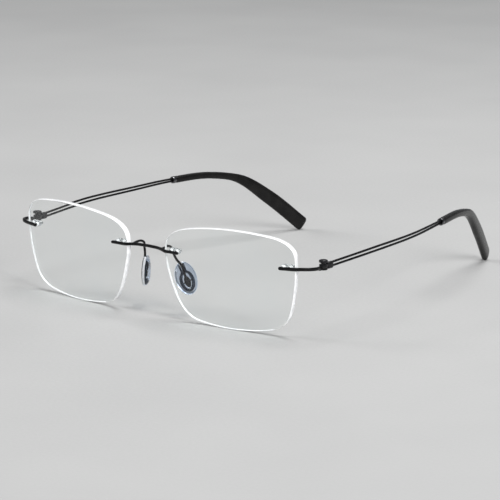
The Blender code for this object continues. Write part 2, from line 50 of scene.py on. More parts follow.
DEPTH_MIDDLE = 75.7  # the depth that lies at Y = 0 in the shared frame
TO_ROW = Matrix.Scale(MM, 4) @ Matrix.Translation((0, -DEPTH_MIDDLE, 0))
BRIDGE_GAP = 18.0
LENS_WIDTH = 55.0
LENS_CENTRE_HEIGHT = 18.247
TILT = 4.8  # degrees that the top of a lens leans forwards
WRAP = 6.1  # degrees that the outer edge of a lens turns back
LENS_RADIUS = 166.7
CENTRE_THICKNESS = 1.6
EDGE_THICKNESS = 2.0
EDGE_BEVEL = 0.2
GAP = 0.04  # between neighbouring pieces
PAST = 1.0  # how far a cutter runs past what it cuts
LENS_KNOTS = (  # outward, up, and heading in degrees, round the outline
    (27.4, 10.3, 93.0),
    (18.2, 17.2, 171.5),
    (-13.0, 17.35, 188.0),
    (-27.4, 8.9, 263.0),
    (-26.1, -1.2, 286.5),
    (-14.6, -17.1, 350.0),
    (16.75, -16.85, 371.0),
    (24.5, -10.25, 432.0),
)
KNOT_STEPS = 26
# Rings of points over each face of a lens, as shares of its outline
LENS_RINGS = (0.01, 0.08, 0.2, 0.32, 0.44, 0.56, 0.68, 0.79, 0.88, 0.95, 0.98)
BEVEL_STEPS = ((0.0, 1.0), (0.3, 0.46), (1.0, 0.0))  # deep and inwards, as shares of the bevel
GLASS_FACING = 0.9  # a face of the lens that faces front or back at least this much is glass
HOLE_ROUND = 0.01

BRIDGE_HEIGHT = 7.4
ENDPIECE_HEIGHT = 6.8
INNER_PINS = ((-25.0, BRIDGE_HEIGHT), (-22.2, BRIDGE_HEIGHT))
OUTER_PINS = ((25.0, ENDPIECE_HEIGHT), (22.2, ENDPIECE_HEIGHT))
PIN_RADIUS = 0.4
SLEEVE_RADIUS = 0.7
LENS_HOLE = SLEEVE_RADIUS + GAP
SLEEVE_PLATE = (5.2, 0.7, 2.1)  # long, thick and high
SLEEVE_SQUARE = 0.6
SLEEVE_ROUND = 0.2
SLEEVE_SET_BACK = 3 * GAP
SLEEVE_PROUD = 1.0
PIN_PROUD = 0.25
BAR_THICK = 0.95
BRIDGE_HIGH = 1.1
ENDPIECE_HIGH = 1.25
BAR_SQUARE = 0.7
BAR_ROUNDING = 0.6
BAR_MOST_DRAWN_IN = 0.95
BAR_END_STEPS = (0, 0.04, 0.12, 0.25, 0.45, 0.7)  # shares of a bar's first step
BRIDGE_STEPS = 6
ENDPIECE_STEPS = 7
BRIDGE_ON_LENS = ((-20.6, BRIDGE_HEIGHT), (-24.1, BRIDGE_HEIGHT), (-27.3, BRIDGE_HEIGHT))
BRIDGE_MIDDLE = ((7.7, -1.15, 25.68), (5.2, -0.35, 25.8), (2.6, -0.2, 25.88), (0.0, -0.15, 25.92))
ENDPIECE_ON_LENS = ((21.3, ENDPIECE_HEIGHT), (24.0, ENDPIECE_HEIGHT), (27.3, ENDPIECE_HEIGHT))
ENDPIECE_TURN = ((65.9, 4.9, 25.65), (68.1, 7.2, 25.55), (68.8, 10.0, 25.35), (68.2, 12.7, 25.1))

HINGE = (68.0, 14.9)  # across and deep
HINGE_BOTTOM = 24.1
KNUCKLE_RADIUS = 1.5
LOWER_KNUCKLE = 0.8
WASHER = 0.15
UPPER_KNUCKLE = 0.9
LOWER_WEB = (1.1, 2.6)  # width, and reach from the axis to the bar
UPPER_WEB_WIDE = 1.6
WEB_STEP = 0.1
HINGE_PIN_RADIUS = 0.6
CAP_RADIUS = 1.6
CAP_THICK = 0.9
CAP_NECK_RADIUS = 0.85
CAP_NECK = 0.7
NECK_ROUND = 0.04
CAP_MIDDLE = 0.3
CAP_ROUNDING = (  # inwards from the cap's rim, and up from its base
    (0.14, 0.0),
    (0.03, 0.05),
    (0.0, 0.16),
    (0.0, 0.52),
    (0.03, 0.64),
    (0.12, 0.76),
    (0.3, 0.86),
    (0.5, CAP_THICK),
)
SCREW_SLOT = (0.3, 0.35)  # wide and deep
EDGE_ROUND = 0.12

TEMPLE_LINE = (  # across, deep and up, along the temple's middle
    (68.0, 17.0, 25.25),
    (69.7, 42.0, 26.7),
    (68.4, 70.0, 27.3),
    (65.3, 91.4, 28.0),
    (60.9, 110.0, 27.6),
    (56.8, 122.6, 24.8),
    (51.8, 136.4, 15.5),
    (45.8, 152.3, 1.812),
)
TEMPLE_STEPS = 24
# Depths along the block, each with its share of the block's full size
BLOCK_ENDS = ((16.8, 0.7), (16.9, 0.88), (17.15, 1.0), (19.15, 1.0), (19.45, 0.93), (19.6, 0.78))
BLOCK_FLARE = 0.08
BLOCK_WIDE = 1.7
BLOCK_HIGH = 2.5
BLOCK_SQUARE = 0.6
WIRE_RADIUS = 0.42
WIRE_START = 18.3
# Depths along the wires, each with the distance between the two
WIRE_SPREADS = ((18.0, 1.3), (45.0, 1.4), (75.0, 1.15), (90.0, 0.92), (115.0, 0.92))
WIRE_END = 112.0
WIRE_STEPS = 60
FERRULE = (90.7, 92.3)
FERRULE_RADIUS = 1.45
FERRULE_END = 0.84  # share of its full width at the rims
FERRULE_BULGE = 0.6
FERRULE_STEPS = 13
FERRULE_BORE_STEPS = 6
TIP_BORE = 0.98
TIP_SQUARE = 0.72
TIP_START = 92.36
TIP_BORE_END = 113.0
TIP_SIZES = (  # depth, height and width
    (92.0, 2.7, 2.7),
    (113.0, 2.8, 2.8),
    (119.0, 3.0, 2.8),
    (126.0, 4.3, 2.8),
    (133.0, 5.4, 2.9),
    (153.0, 6.0, 2.9),
)
TIP_END_ROUND = 1.0
TIP_MOUTH_ROUND = 0.25
TIP_LEAST_WIDE = 0.2
TIP_MOUTH_STEPS = (0, 0.15, 0.5)  # shares of the mouth's rounding
TIP_STEPS = 64
TIP_END_START = 0.12  # share of the end's quarter turn at its first ring
TIP_END_STEPS = 12
TIP_SIZE_STEPS = 8
TIP_BORE_STEPS = 24

PAD_CENTRE = (9.6, 10.0, 13.55)
PAD_UP = (-0.236, -0.257, 0.937)
PAD_SPLAY = 25.0  # degrees
PAD_WIDE = 8.2
PAD_LONG = 12.9
PAD_FRONT = -1.2
PAD_BACK = 1.45
PAD_WIDEST = -0.35
# Sideways faces round the pad's rim, past this share of its size, take a painted highlight: a whiter
# silicone for light catching the rim
PAD_PAINTED_RIM_START = 0.4
PAD_PAINTED_RIM_SLOPE = 0.62
PAD_TURNS = (-0.42, 0.47)  # shares of a half turn, from the side at PAD_FRONT to the one at PAD_BACK
PAD_RINGS = 22
PAD_SIDES = 72
PAD_FRONT_POWER = 0.55
PAD_BACK_POWER = 0.85
PAD_DEPTH_POWER = 1.15
PAD_PIVOT = (-0.5, -1.4)  # deep and up in the pad
RING_LOW = -5.15
RING_HIGH = 3.05
RING_WIDE = 5.5
RING_BAND = 0.95
RING_THICK = 0.9
RING_ROUND = 0.15
NECK_WIDE = 2.2
NECK_TOP = 5.6
CHANNEL_WIDE = 1.3
CHANNEL_FLOOR = 0.62
NOTCH_START = 4.4
CUT_TOP = 9.0
CUT_REACH = 3.0
BOX_WIDE = 2.2
BOX_LONG = 4.4
BOX_THICK = 1.1
BOX_ROUND = 0.3
PAD_PIN_RADIUS = 0.3
PAD_PIN_ROUND = 0.08
ARM_RADIUS = 0.45
ARM_LINE = (  # across, deep and up, from the bridge
    (6.83, -0.22, 25.78),
    (7.0, 0.6, 25.86),
    (6.75, 4.4, 26.0),
    (6.75, 5.6, 25.35),
    (7.1, 6.3, 23.2),
    (7.75, 7.35, 20.6),
)
ARM_STEPS = 9
SOLDER_DEPTH = 0.3
SOLDER_FLARE = 1.2

ROUND_SIDES = 40
TUBE_SIDES = 24
KEYHOLE_STEPS = 48
RIM_STEPS = 5
SHARP_ANGLE = 38.0  # degrees between faces that meet in a crisp edge
NOISE_RANGE = (0.3, 0.7)  # the part of a noise's range that most of it lies in
RAMP_RANGE = (0.32, 0.68)
PATCH_DETAIL = 3.0
FINE_DETAIL = 2.0


# Materials
def new_material(name):
    made = bpy.data.materials.new(name)
    made.use_nodes = True
    return made, made.node_tree, made.node_tree.nodes["Principled BSDF"]


def grain(tree, size, stretch=(1, 1, 1), detail=PATCH_DETAIL):
    """A noise over the piece with features of this size in millimetres, drawn out by stretch."""
    place = tree.nodes.new("ShaderNodeTexCoord")
    mapping = tree.nodes.new("ShaderNodeMapping")
    noise = tree.nodes.new("ShaderNodeTexNoise")
    mapping.inputs["Scale"].default_value = [1 / (size * MM * s) for s in stretch]
    noise.inputs["Scale"].default_value = 1.0
    noise.inputs["Detail"].default_value = detail
    tree.links.new(place.outputs["Object"], mapping.inputs["Vector"])
    tree.links.new(mapping.outputs["Vector"], noise.inputs["Vector"])
    return noise.outputs["Fac"]


def between(tree, source, low, high):
    """A number that follows the noise from low to high."""
    ranged = tree.nodes.new("ShaderNodeMapRange")
    ranged.inputs["From Min"].default_value, ranged.inputs["From Max"].default_value = NOISE_RANGE
    ranged.inputs["To Min"].default_value = low
    ranged.inputs["To Max"].default_value = high
    tree.links.new(source, ranged.inputs["Value"])
    return ranged.outputs["Result"]


def colours(tree, source, dark, light):
    """A colour that follows the noise from dark to light."""
    ramp = tree.nodes.new("ShaderNodeValToRGB")
    first, last = ramp.color_ramp.elements
    first.position, last.position = RAMP_RANGE
    first.color, last.color = (*dark, 1), (*light, 1)
    tree.links.new(source, ramp.inputs["Fac"])
    return ramp.outputs["Color"]


def relief(tree, shader, source, height):
    """Bumps of this height in millimetres."""
    bump = tree.nodes.new("ShaderNodeBump")
    bump.inputs["Strength"].default_value = 1.0
    bump.inputs["Distance"].default_value = height * MM
    tree.links.new(source, bump.inputs["Height"])
    tree.links.new(bump.outputs["Normal"], shader.inputs["Normal"])


def finish_of(name, dark, light, rough, patch, fine, height, stretch=(1, 1, 1), **values):
    """A surface whose colour and gloss wander in patches, under a fine grain with some relief."""
    made, tree, shader = new_material(name)
    patches = grain(tree, patch, stretch)
    fines = grain(tree, fine, stretch, FINE_DETAIL)
    tree.links.new(colours(tree, patches, dark, light), shader.inputs["Base Color"])
    tree.links.new(between(tree, fines, *rough), shader.inputs["Roughness"])
    if height:
        relief(tree, shader, fines, height)
    for socket, value in values.items():
        shader.inputs[socket.replace("_", " ")].default_value = value
    made.diffuse_color = (*light, 1)
    return made


def let_light_through(made, tint):
    """Lets lamps and bounced light pass clear material straight on, so that its shadow is soft."""
    tree = made.node_tree
    shader = tree.nodes["Principled BSDF"]
    output = tree.nodes["Material Output"]
    path = tree.nodes.new("ShaderNodeLightPath")
    either = tree.nodes.new("ShaderNodeMath")
    clear = tree.nodes.new("ShaderNodeBsdfTransparent")
    mix = tree.nodes.new("ShaderNodeMixShader")
    either.operation = "MAXIMUM"
    clear.inputs["Color"].default_value = (*tint, 1)
    tree.links.new(path.outputs["Is Shadow Ray"], either.inputs[0])
    tree.links.new(path.outputs["Is Diffuse Ray"], either.inputs[1])
    tree.links.new(either.outputs[0], mix.inputs[0])
    tree.links.new(shader.outputs[0], mix.inputs[1])
    tree.links.new(clear.outputs[0], mix.inputs[2])
    tree.links.new(mix.outputs[0], output.inputs["Surface"])
    return made


def lens_material():
    """Clear resin; its coating against reflections is shown by a low index."""
    made = finish_of(
        "lens_resin", (0.965, 0.985, 0.985), (0.985, 0.995, 0.99), (0.0, 0.025), 14.0, 6.0, 0,
        Transmission_Weight=1.0, IOR=1.28,
    )
    return let_light_through(made, (0.93, 0.95, 0.95))


def edge_glow_material():
    # Pale, partly diffuse colour painted for light piped inside the lens that glows at its polished edge
    return finish_of(
        "lens_edge_painted_glow", (0.66, 0.67, 0.68), (0.84, 0.845, 0.85), (0.16, 0.3), 1.6, 0.25, 0.001,
        Transmission_Weight=0.12, IOR=1.5,
    )


def sleeve_material():
    made = finish_of(
        "clear_sleeve_plastic", (0.93, 0.95, 0.96), (0.98, 0.99, 0.99), (0.02, 0.12), 1.2, 0.3, 0.003,
        Transmission_Weight=0.9, IOR=1.49,
    )
    return let_light_through(made, (0.86, 0.88, 0.89))


def silicone_material():
    made = finish_of(
        "clear_silicone", (0.5, 0.58, 0.7), (0.6, 0.67, 0.78), (0.06, 0.16), 2.5, 0.35, 0.003,
        Transmission_Weight=1.0, IOR=1.33,
    )
    return let_light_through(made, (0.6, 0.66, 0.75))


def rim_highlight_material():
    # Whiter, less clear silicone: a painted highlight for light catching the pad's rounded rim
    return finish_of(
        "silicone_rim_painted_highlight", (0.84, 0.87, 0.92), (0.94, 0.955, 0.98), (0.16, 0.3), 2.0, 0.3, 0.001,
        Transmission_Weight=0.45, IOR=1.41,
    )


def make_materials():
    black = (0.003, 0.003, 0.0033)
    softer = (0.007, 0.007, 0.0075)
    drawn = (1, 9, 1)
    return {
        "lens": lens_material(),
        "lens_edge": edge_glow_material(),
        "clear_sleeve": sleeve_material(),
        "pad_silicone": silicone_material(),
        "pad_rim_painted_highlight": rim_highlight_material(),
        "frame_metal": finish_of(
            "satin_black_metal", black, softer, (0.2, 0.32), 2.2, 0.12, 0.002,
            Specular_IOR_Level=0.22,
        ),
        "wire_metal": finish_of(
            "satin_black_wire", black, softer, (0.2, 0.34), 0.5, 0.1, 0.002, drawn,
            Specular_IOR_Level=0.22,
        ),
        "hinge_metal": finish_of(
            "turned_black_metal", (0.004, 0.004, 0.0045), (0.01, 0.01, 0.011), (0.18, 0.3), 1.0, 0.09,
            0.002, Specular_IOR_Level=0.3,
        ),
        "ferrule": finish_of(
            "bright_ring", (0.09, 0.09, 0.095), (0.16, 0.16, 0.165), (0.1, 0.22), 0.8, 0.1, 0.002,
            Metallic=1.0,
        ),
        "tip": finish_of(
            "black_acetate", (0.003, 0.003, 0.003), (0.007, 0.0068, 0.0065), (0.2, 0.3), 5.0, 0.4,
            0.001, Specular_IOR_Level=0.22,
        ),
        "pad_insert": finish_of(
            "dark_insert_plastic", (0.003, 0.006, 0.012), (0.006, 0.011, 0.02), (0.35, 0.5), 1.5, 0.15,
            0.003, Specular_IOR_Level=0.15,
        ),
        "washer": finish_of(
            "nylon_washer", (0.012, 0.012, 0.012), (0.03, 0.03, 0.03), (0.4, 0.55), 0.8, 0.1, 0.002,
        ),
    }


# Shapes, each a bmesh in millimetres
def loft(rings):
    """A closed shape through rings of equal length, with a cap at each end."""
    bm = bmesh.new()
    rows = [[bm.verts.new(point) for point in ring] for ring in rings]
    bm.faces.new(rows[0])
    bm.faces.new(rows[-1])
    for a, b in zip(rows, rows[1:]):
        for i in range(len(a)):
            j = (i + 1) % len(a)
            bm.faces.new((a[i], a[j], b[j], b[i]))
    bmesh.ops.recalc_face_normals(bm, faces=bm.faces)
    return bm


def bend(value, power):
    return math.copysign(abs(value) ** power, value)


def oval(wide, high, sides=ROUND_SIDES, power=1.0):
    """Corners of an oval; a power below 1 squares it off."""
    turns = [2 * math.pi * i / sides for i in range(sides)]
    squared = [(bend(math.cos(t), power), bend(math.sin(t), power)) for t in turns]
    return [(wide / 2 * c, high / 2 * s) for c, s in squared]


def sweep(line, wides, highs, sides=TUBE_SIDES, hint=(0, 0, 1), power=1.0):
    """An oval section carried along a line, with its high side towards the hint."""
    line = np.array(line, float)
    tangents = np.gradient(line, axis=0)
    rings = []
    for centre, tangent, wide, high in zip(line, tangents, wides, highs):
        ahead = Vector(tangent).normalized()
        up = Vector(hint) - ahead * ahead.dot(Vector(hint))
        up.normalize()
        side = ahead.cross(up)
        corners = oval(wide, high, sides, power)
        rings.append([Vector(centre) + side * a + up * b for a, b in corners])
    return loft(rings)


def tube(line, radius):
    size = [2 * radius] * len(line)
    return sweep(line, size, size)


def turned(profile):
    """A solid of revolution about the z axis through (radius, height) points."""
    return loft([[(a, b, z) for a, b in oval(2 * r, 2 * r)] for r, z in profile])


def rims(low, high, round_by):
    """Inset and level of each step round the two rounded rims of a plate or a cylinder."""
    steps = []
    for start, way in ((low, 1), (high, -1)):
        for t in np.linspace(0, math.pi / 2, RIM_STEPS)[::way]:
            inset = round_by * (1 - math.sin(t))
            rise = round_by * (1 - math.cos(t))
            steps.append((inset, start + way * rise))
    return steps


def disc(radius, low, high, round_by=EDGE_ROUND):
    """An upright cylinder with rounded rims."""
    return turned([(radius - inset, level) for inset, level in rims(low, high, round_by)])


def at_hinge(bm):
    return moved(bm, Matrix.Translation((*HINGE, 0)))


def box(low, high):
    (x0, y0, z0), (x1, y1, z1) = low, high
    corners = ((x0, y0), (x1, y0), (x1, y1), (x0, y1))
    return loft([[(x, y, z) for x, y in corners] for z in (z0, z1)])


def plate(outline, low, high):
    """An outline in the plane of width and height, thickened in depth."""
    return loft([[(a, depth, b) for a, b in outline] for depth in (low, high)])


def pillow(outline_of, low, high, round_by):
    """A plate with rounded rims; outline_of gives the outline drawn in by a length."""
    steps = rims(low, high, round_by)
    return loft([[(a, depth, b) for a, b in outline_of(inset)] for inset, depth in steps])


def moved(bm, matrix):
    bmesh.ops.transform(bm, matrix=matrix, verts=bm.verts)
    return bm


def mirrored(bm, side):
    """The same shape on the wearer's right when side is -1."""
    if side < 0:
        bmesh.ops.transform(bm, matrix=Matrix.Scale(-1, 4, (1, 0, 0)), verts=bm.verts)
        bmesh.ops.reverse_faces(bm, faces=bm.faces)
    return bm


def smooth_line(knots, steps):
    """Points on a smooth curve through the knots."""
    knots = np.array(knots, float)
    runs = np.r_[0, np.cumsum(np.linalg.norm(np.diff(knots, axis=0), axis=1))]
    slopes = np.gradient(knots, runs, axis=0)
    points = []
    for i in range(len(knots) - 1):
        span = runs[i + 1] - runs[i]
        for s in np.linspace(0, 1, steps, endpoint=False):
            start = (1 + 2 * s) * (1 - s) ** 2 * knots[i] + s * (1 - s) ** 2 * span * slopes[i]
            end = s * s * (3 - 2 * s) * knots[i + 1] - s * s * (1 - s) * span * slopes[i + 1]
            points.append(start + end)
    points.append(knots[-1])
    return np.array(points)


def part_of_line(line, depths):
    """Points on a line at the given depths."""
    return np.array([[np.interp(y, line[:, 1], line[:, axis]) for axis in range(3)] for y in depths])


def combined(base, others, operation):
    """Joins shapes to a base shape, or cuts them from it, one after another."""
    helpers = []
    for number, bm in enumerate((base, *others)):
        mesh = bpy.data.meshes.new(f"helper{number}")
        bm.to_mesh(mesh)
        bm.free()
        helper = bpy.data.objects.new(f"helper{number}", mesh)
        bpy.context.collection.objects.link(helper)
        helpers.append(helper)
    for tool in helpers[1:]:
        modifier = helpers[0].modifiers.new("step", "BOOLEAN")
        modifier.object = tool
        modifier.operation = operation
        modifier.solver = "EXACT"
    bpy.context.view_layer.update()
    result = bmesh.new()
    result.from_object(helpers[0], bpy.context.evaluated_depsgraph_get())
    for helper in helpers:
        mesh = helper.data
        bpy.data.objects.remove(helper, do_unlink=True)
        bpy.data.meshes.remove(mesh)
    return result


def joined(base, *others):
    return combined(base, others, "UNION")


def cut(base, *others):
    return combined(base, others, "DIFFERENCE")


def piece(name, bm, looks, body):
    """One shown piece, which stands for the CAD node of the same name and rides on its body."""
    mesh = bpy.data.meshes.new(f"fine_{name}")
    bmesh.ops.transform(bm, matrix=TO_ROW, verts=bm.verts)
    bm.to_mesh(mesh)
    bm.free()
    mesh.shade_smooth()
    mesh.set_sharp_from_angle(angle=math.radians(SHARP_ANGLE))
    for look in looks:
        mesh.materials.append(look)
    made = bpy.data.objects.new(f"fine_{name}", mesh)
    bpy.context.collection.objects.link(made)
    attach(made, body)
    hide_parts(name)


# Lenses and their mountings
def lens_frame():
    """Places (outward, back, up) from the lens centre in the glasses."""
    centre = Matrix.Translation(((LENS_WIDTH + BRIDGE_GAP) / 2, 0, LENS_CENTRE_HEIGHT))
    turn = Matrix.Rotation(math.radians(TILT), 4, "X") @ Matrix.Rotation(math.radians(WRAP), 4, "Z")
    return centre @ turn


def lens_front(u, v):
    return (u * u + v * v) / (2 * LENS_RADIUS)


def lens_back(u, v):
    growth = (EDGE_THICKNESS - CENTRE_THICKNESS) / (LENS_WIDTH / 2) ** 2
    return lens_front(u, v) + CENTRE_THICKNESS + growth * (u * u + v * v)


def lens_outline():
    points = []
    for knot, following in zip(LENS_KNOTS, LENS_KNOTS[1:] + LENS_KNOTS[:1]):
        turn = math.radians((following[2] - knot[2]) % 360)
        chord = math.dist(knot[:2], following[:2])
        reach = 4 / 3 * math.tan(turn / 4) * chord / (2 * math.sin(turn / 2))
        start, end = Vector(knot[:2]), Vector(following[:2])
        leave = Vector((math.cos(math.radians(knot[2])), math.sin(math.radians(knot[2]))))
        arrive = Vector((math.cos(math.radians(following[2])), math.sin(math.radians(following[2]))))
        for i in range(KNOT_STEPS):
            s = i / KNOT_STEPS
            bow = start * (1 - s) ** 3 + (start + leave * reach) * 3 * s * (1 - s) ** 2
            points.append(bow + (end - arrive * reach) * 3 * s * s * (1 - s) + end * s**3)
    return points


def lens_ring(outline, scale, surface, shift=0.0):
    scaled = [point * scale for point in outline]
    return [(u, surface(u, v) + shift, v) for u, v in scaled]


def lens_blank():
    outline = lens_outline()
    half = LENS_WIDTH / 2
    rings = [lens_ring(outline, scale, lens_front) for scale in LENS_RINGS]
    for deep, inwards in BEVEL_STEPS:
        rings.append(lens_ring(outline, 1 - EDGE_BEVEL * inwards / half, lens_front, EDGE_BEVEL * deep))
    for deep, inwards in reversed(BEVEL_STEPS):
        rings.append(lens_ring(outline, 1 - EDGE_BEVEL * inwards / half, lens_back, -EDGE_BEVEL * deep))
    rings += [lens_ring(outline, scale, lens_back) for scale in reversed(LENS_RINGS)]
    return loft(rings)


def along_pin(bm, pin):
    """Lays a shape made round the z axis along a lens pin."""
    along = Matrix.Rotation(math.radians(-90), 4, "X")
    return moved(bm, Matrix.Translation((pin[0], lens_front(*pin), pin[1])) @ along)


def make_lens(side, name, looks):
    """The lens with its four holes; its edge and the walls of its holes have their own look."""
    pins = (*OUTER_PINS, *INNER_PINS)
    end = EDGE_THICKNESS + PAST
    holes = [along_pin(disc(LENS_HOLE, -PAST, end, HOLE_ROUND), pin) for pin in pins]
    bm = cut(lens_blank(), *holes)
    # Edge faces and hole walls take the edge material, whose pale colour is a painted glow
    for face in bm.faces:
        if abs(face.normal.y) < GLASS_FACING:
            face.material_index = 1
    bm = mirrored(moved(bm, lens_frame()), side)
    piece(name, bm, (looks["lens"], looks["lens_edge"]), "front")


def back_slope(u, v):
    """Turns a plate to lie along the back of the lens, by its slope over a short step."""
    step = 0.1
    outward = (lens_back(u + step, v) - lens_back(u, v)) / step
    upward = (lens_back(u, v + step) - lens_back(u, v)) / step
    turn = Matrix.Rotation(math.atan(outward), 4, "Z")
    return turn @ Matrix.Rotation(-math.atan(upward), 4, "X")


def make_sleeve(side, pins, name, looks):
    """Two clear tubes in the lens holes, joined by a rounded plate behind the lens."""
    middle = Vector(pins[0]).lerp(Vector(pins[1]), 0.5)
    back = lens_back(*middle) + 2 * GAP
    long, thick, high = SLEEVE_PLATE

    def outline(by):
        return oval(long - 2 * by, high - 2 * by, power=SLEEVE_SQUARE)

    base = pillow(outline, 0, thick, SLEEVE_ROUND)
    moved(base, Matrix.Translation((middle.x, back, middle.y)) @ back_slope(*middle))
    end = back + thick + SLEEVE_PROUD - lens_front(*middle)
    tubes = [along_pin(disc(SLEEVE_RADIUS, SLEEVE_SET_BACK, end, SLEEVE_ROUND), pin) for pin in pins]
    bores = [along_pin(disc(PIN_RADIUS + GAP, -PAST, end + PAST), pin) for pin in pins]
    bm = moved(cut(joined(base, *tubes), *bores), lens_frame())
    piece(name, mirrored(bm, side), (looks["clear_sleeve"],), "front")


def mounting_pins(pins):
    """The metal pins of one mounting, in the glasses."""
    middle = Vector(pins[0]).lerp(Vector(pins[1]), 0.5)
    end = lens_back(*middle) - lens_front(*middle) + 2 * GAP + SLEEVE_PLATE[1] + SLEEVE_PROUD + PIN_PROUD
    return [moved(along_pin(disc(PIN_RADIUS, -BAR_THICK / 2, end), pin), lens_frame()) for pin in pins]


def on_lens(spot):
    """The bar's centre where it lies on the front of the lens."""
    back = lens_front(*spot) - BAR_THICK / 2 - 2 * GAP
    return tuple(lens_frame() @ Vector((spot[0], back, spot[1])))


def rounded_ends(line, both):
    """Share of its full size that a bar has along a line, rounded off at its free ends."""
    run = np.r_[0, np.cumsum(np.linalg.norm(np.diff(line, axis=0), axis=1))]
    left = np.minimum(run, run[-1] - run) if both else run
    short = np.clip(1 - left / BAR_ROUNDING, 0, BAR_MOST_DRAWN_IN)
    return np.sqrt(1 - short**2)


def with_close_ends(line, both):
    """The line with extra points where a bar's end is rounded."""
    start = [line[0] + (line[1] - line[0]) * s for s in BAR_END_STEPS]
    end = [line[-1] + (line[-2] - line[-1]) * s for s in BAR_END_STEPS[::-1]]
    return np.array([*start, *line[1:-1], *(end if both else [line[-1]])])


def make_bridge(looks):
    half = [*map(on_lens, BRIDGE_ON_LENS), *BRIDGE_MIDDLE]
    other = [(-x, y, z) for x, y, z in half[-2::-1]]
    line = with_close_ends(smooth_line([*half, *other], BRIDGE_STEPS), both=True)
    ends = rounded_ends(line, both=True)
    bar = sweep(line, BAR_THICK * ends, BRIDGE_HIGH * ends, power=BAR_SQUARE)
    left = mounting_pins(INNER_PINS)
    right = [mirrored(bm, -1) for bm in mounting_pins(INNER_PINS)]
    piece("bridge", joined(bar, *left, *right), (looks["frame_metal"],), "front")


def make_endpiece(side, name, looks):
    """Bar on the lens, turn round its edge, and the hinge's lower knuckle."""
    knots = [*map(on_lens, ENDPIECE_ON_LENS), *ENDPIECE_TURN]
    line = with_close_ends(smooth_line(knots, ENDPIECE_STEPS), both=False)
    ends = rounded_ends(line, both=False)
    bar = sweep(line, BAR_THICK * ends, ENDPIECE_HIGH * ends, power=BAR_SQUARE)
    x, y = HINGE
    top = HINGE_BOTTOM + LOWER_KNUCKLE
    knuckle = at_hinge(disc(KNUCKLE_RADIUS, HINGE_BOTTOM, top))
    wide, reach = LOWER_WEB
    web = box((x - wide / 2, y - reach, HINGE_BOTTOM + WEB_STEP), (x + wide / 2, y, top - WEB_STEP))
    hole = at_hinge(disc(HINGE_PIN_RADIUS + GAP, HINGE_BOTTOM - PAST, top + PAST))
    bm = cut(joined(bar, knuckle, web, *mounting_pins(OUTER_PINS)), hole)
    piece(name, mirrored(bm, side), (looks["frame_metal"],), "front")


# Hinges and temples
def hinge_levels():
    """Heights of the washer, the upper knuckle and the cap's neck."""
    washer = HINGE_BOTTOM + LOWER_KNUCKLE + GAP
    knuckle = washer + WASHER + GAP
    neck = knuckle + UPPER_KNUCKLE + GAP
    return washer, knuckle, neck


def make_hinge_screw(side, name, looks):
    """Screw with a wide domed cap, a collar under it and a slot across it."""
    _, _, neck = hinge_levels()
    low = neck + CAP_NECK
    top = low + CAP_THICK
    profile = [(HINGE_PIN_RADIUS - EDGE_ROUND, HINGE_BOTTOM + GAP)]
    profile += [(HINGE_PIN_RADIUS, HINGE_BOTTOM + GAP + EDGE_ROUND), (HINGE_PIN_RADIUS, neck)]
    profile += [(CAP_NECK_RADIUS - NECK_ROUND, neck), (CAP_NECK_RADIUS, neck + NECK_ROUND)]
    profile.append((CAP_NECK_RADIUS, low))
    profile += [(CAP_RADIUS - inwards, low + up) for inwards, up in CAP_ROUNDING]
    profile.append((CAP_MIDDLE, top))
    wide, deep = SCREW_SLOT
    reach = CAP_RADIUS + PAST
    slot = box((-reach, -wide / 2, top - deep), (reach, wide / 2, top + PAST))
    bm = at_hinge(cut(turned(profile), slot))
    piece(name, mirrored(bm, side), (looks["hinge_metal"],), "front")


def make_washer(side, name, looks):
    washer, _, _ = hinge_levels()
    ring = disc(KNUCKLE_RADIUS - GAP, washer, washer + WASHER, GAP)
    hole = disc(HINGE_PIN_RADIUS + GAP, washer - PAST, washer + PAST)
    piece(name, mirrored(at_hinge(cut(ring, hole)), side), (looks["washer"],), "front")


def temple_line():
    return smooth_line(TEMPLE_LINE, TEMPLE_STEPS)


def wire_line(sign, start=WIRE_START):
    """The upper wire's centre line when sign is +1, and the lower wire's when -1."""
    line = part_of_line(temple_line(), np.linspace(start, WIRE_END, WIRE_STEPS))
    depths, spreads = zip(*WIRE_SPREADS)
    line[:, 2] += sign * np.interp(line[:, 1], depths, spreads) / 2
    return line


def make_temple_block(side, name, looks):
    """The hinge's upper knuckle and the block that holds the two wires."""
    _, low, _ = hinge_levels()
    x, y = HINGE
    high = low + UPPER_KNUCKLE
    knuckle = at_hinge(disc(KNUCKLE_RADIUS, low, high))
    start, middle = BLOCK_ENDS[0][0], TEMPLE_LINE[0][2]
    half = UPPER_WEB_WIDE / 2
    web = box((x - half, y, low + WEB_STEP), (x + half, BLOCK_ENDS[2][0] + WEB_STEP, high - WEB_STEP))
    line = [(x + BLOCK_FLARE * (depth - start), depth, middle) for depth, _ in BLOCK_ENDS]
    wides = [BLOCK_WIDE * size for _, size in BLOCK_ENDS]
    highs = [BLOCK_HIGH * size for _, size in BLOCK_ENDS]
    tail = sweep(line, wides, highs, ROUND_SIDES, power=BLOCK_SQUARE)
    hole = at_hinge(disc(HINGE_PIN_RADIUS + GAP, low - PAST, high + PAST))
    sockets = [tube(wire_line(sign, WIRE_START - GAP), WIRE_RADIUS + GAP) for sign in (1, -1)]
    bm = cut(joined(knuckle, web, tail), hole, *sockets)
    piece(name, mirrored(bm, side), (looks["hinge_metal"],), body_of_temple(side))


def body_of_temple(side):
    return "temple_left" if side > 0 else "temple_right"


def make_wire(side, sign, name, looks):
    bm = mirrored(tube(wire_line(sign), WIRE_RADIUS), side)
    piece(name, bm, (looks["wire_metal"],), body_of_temple(side))


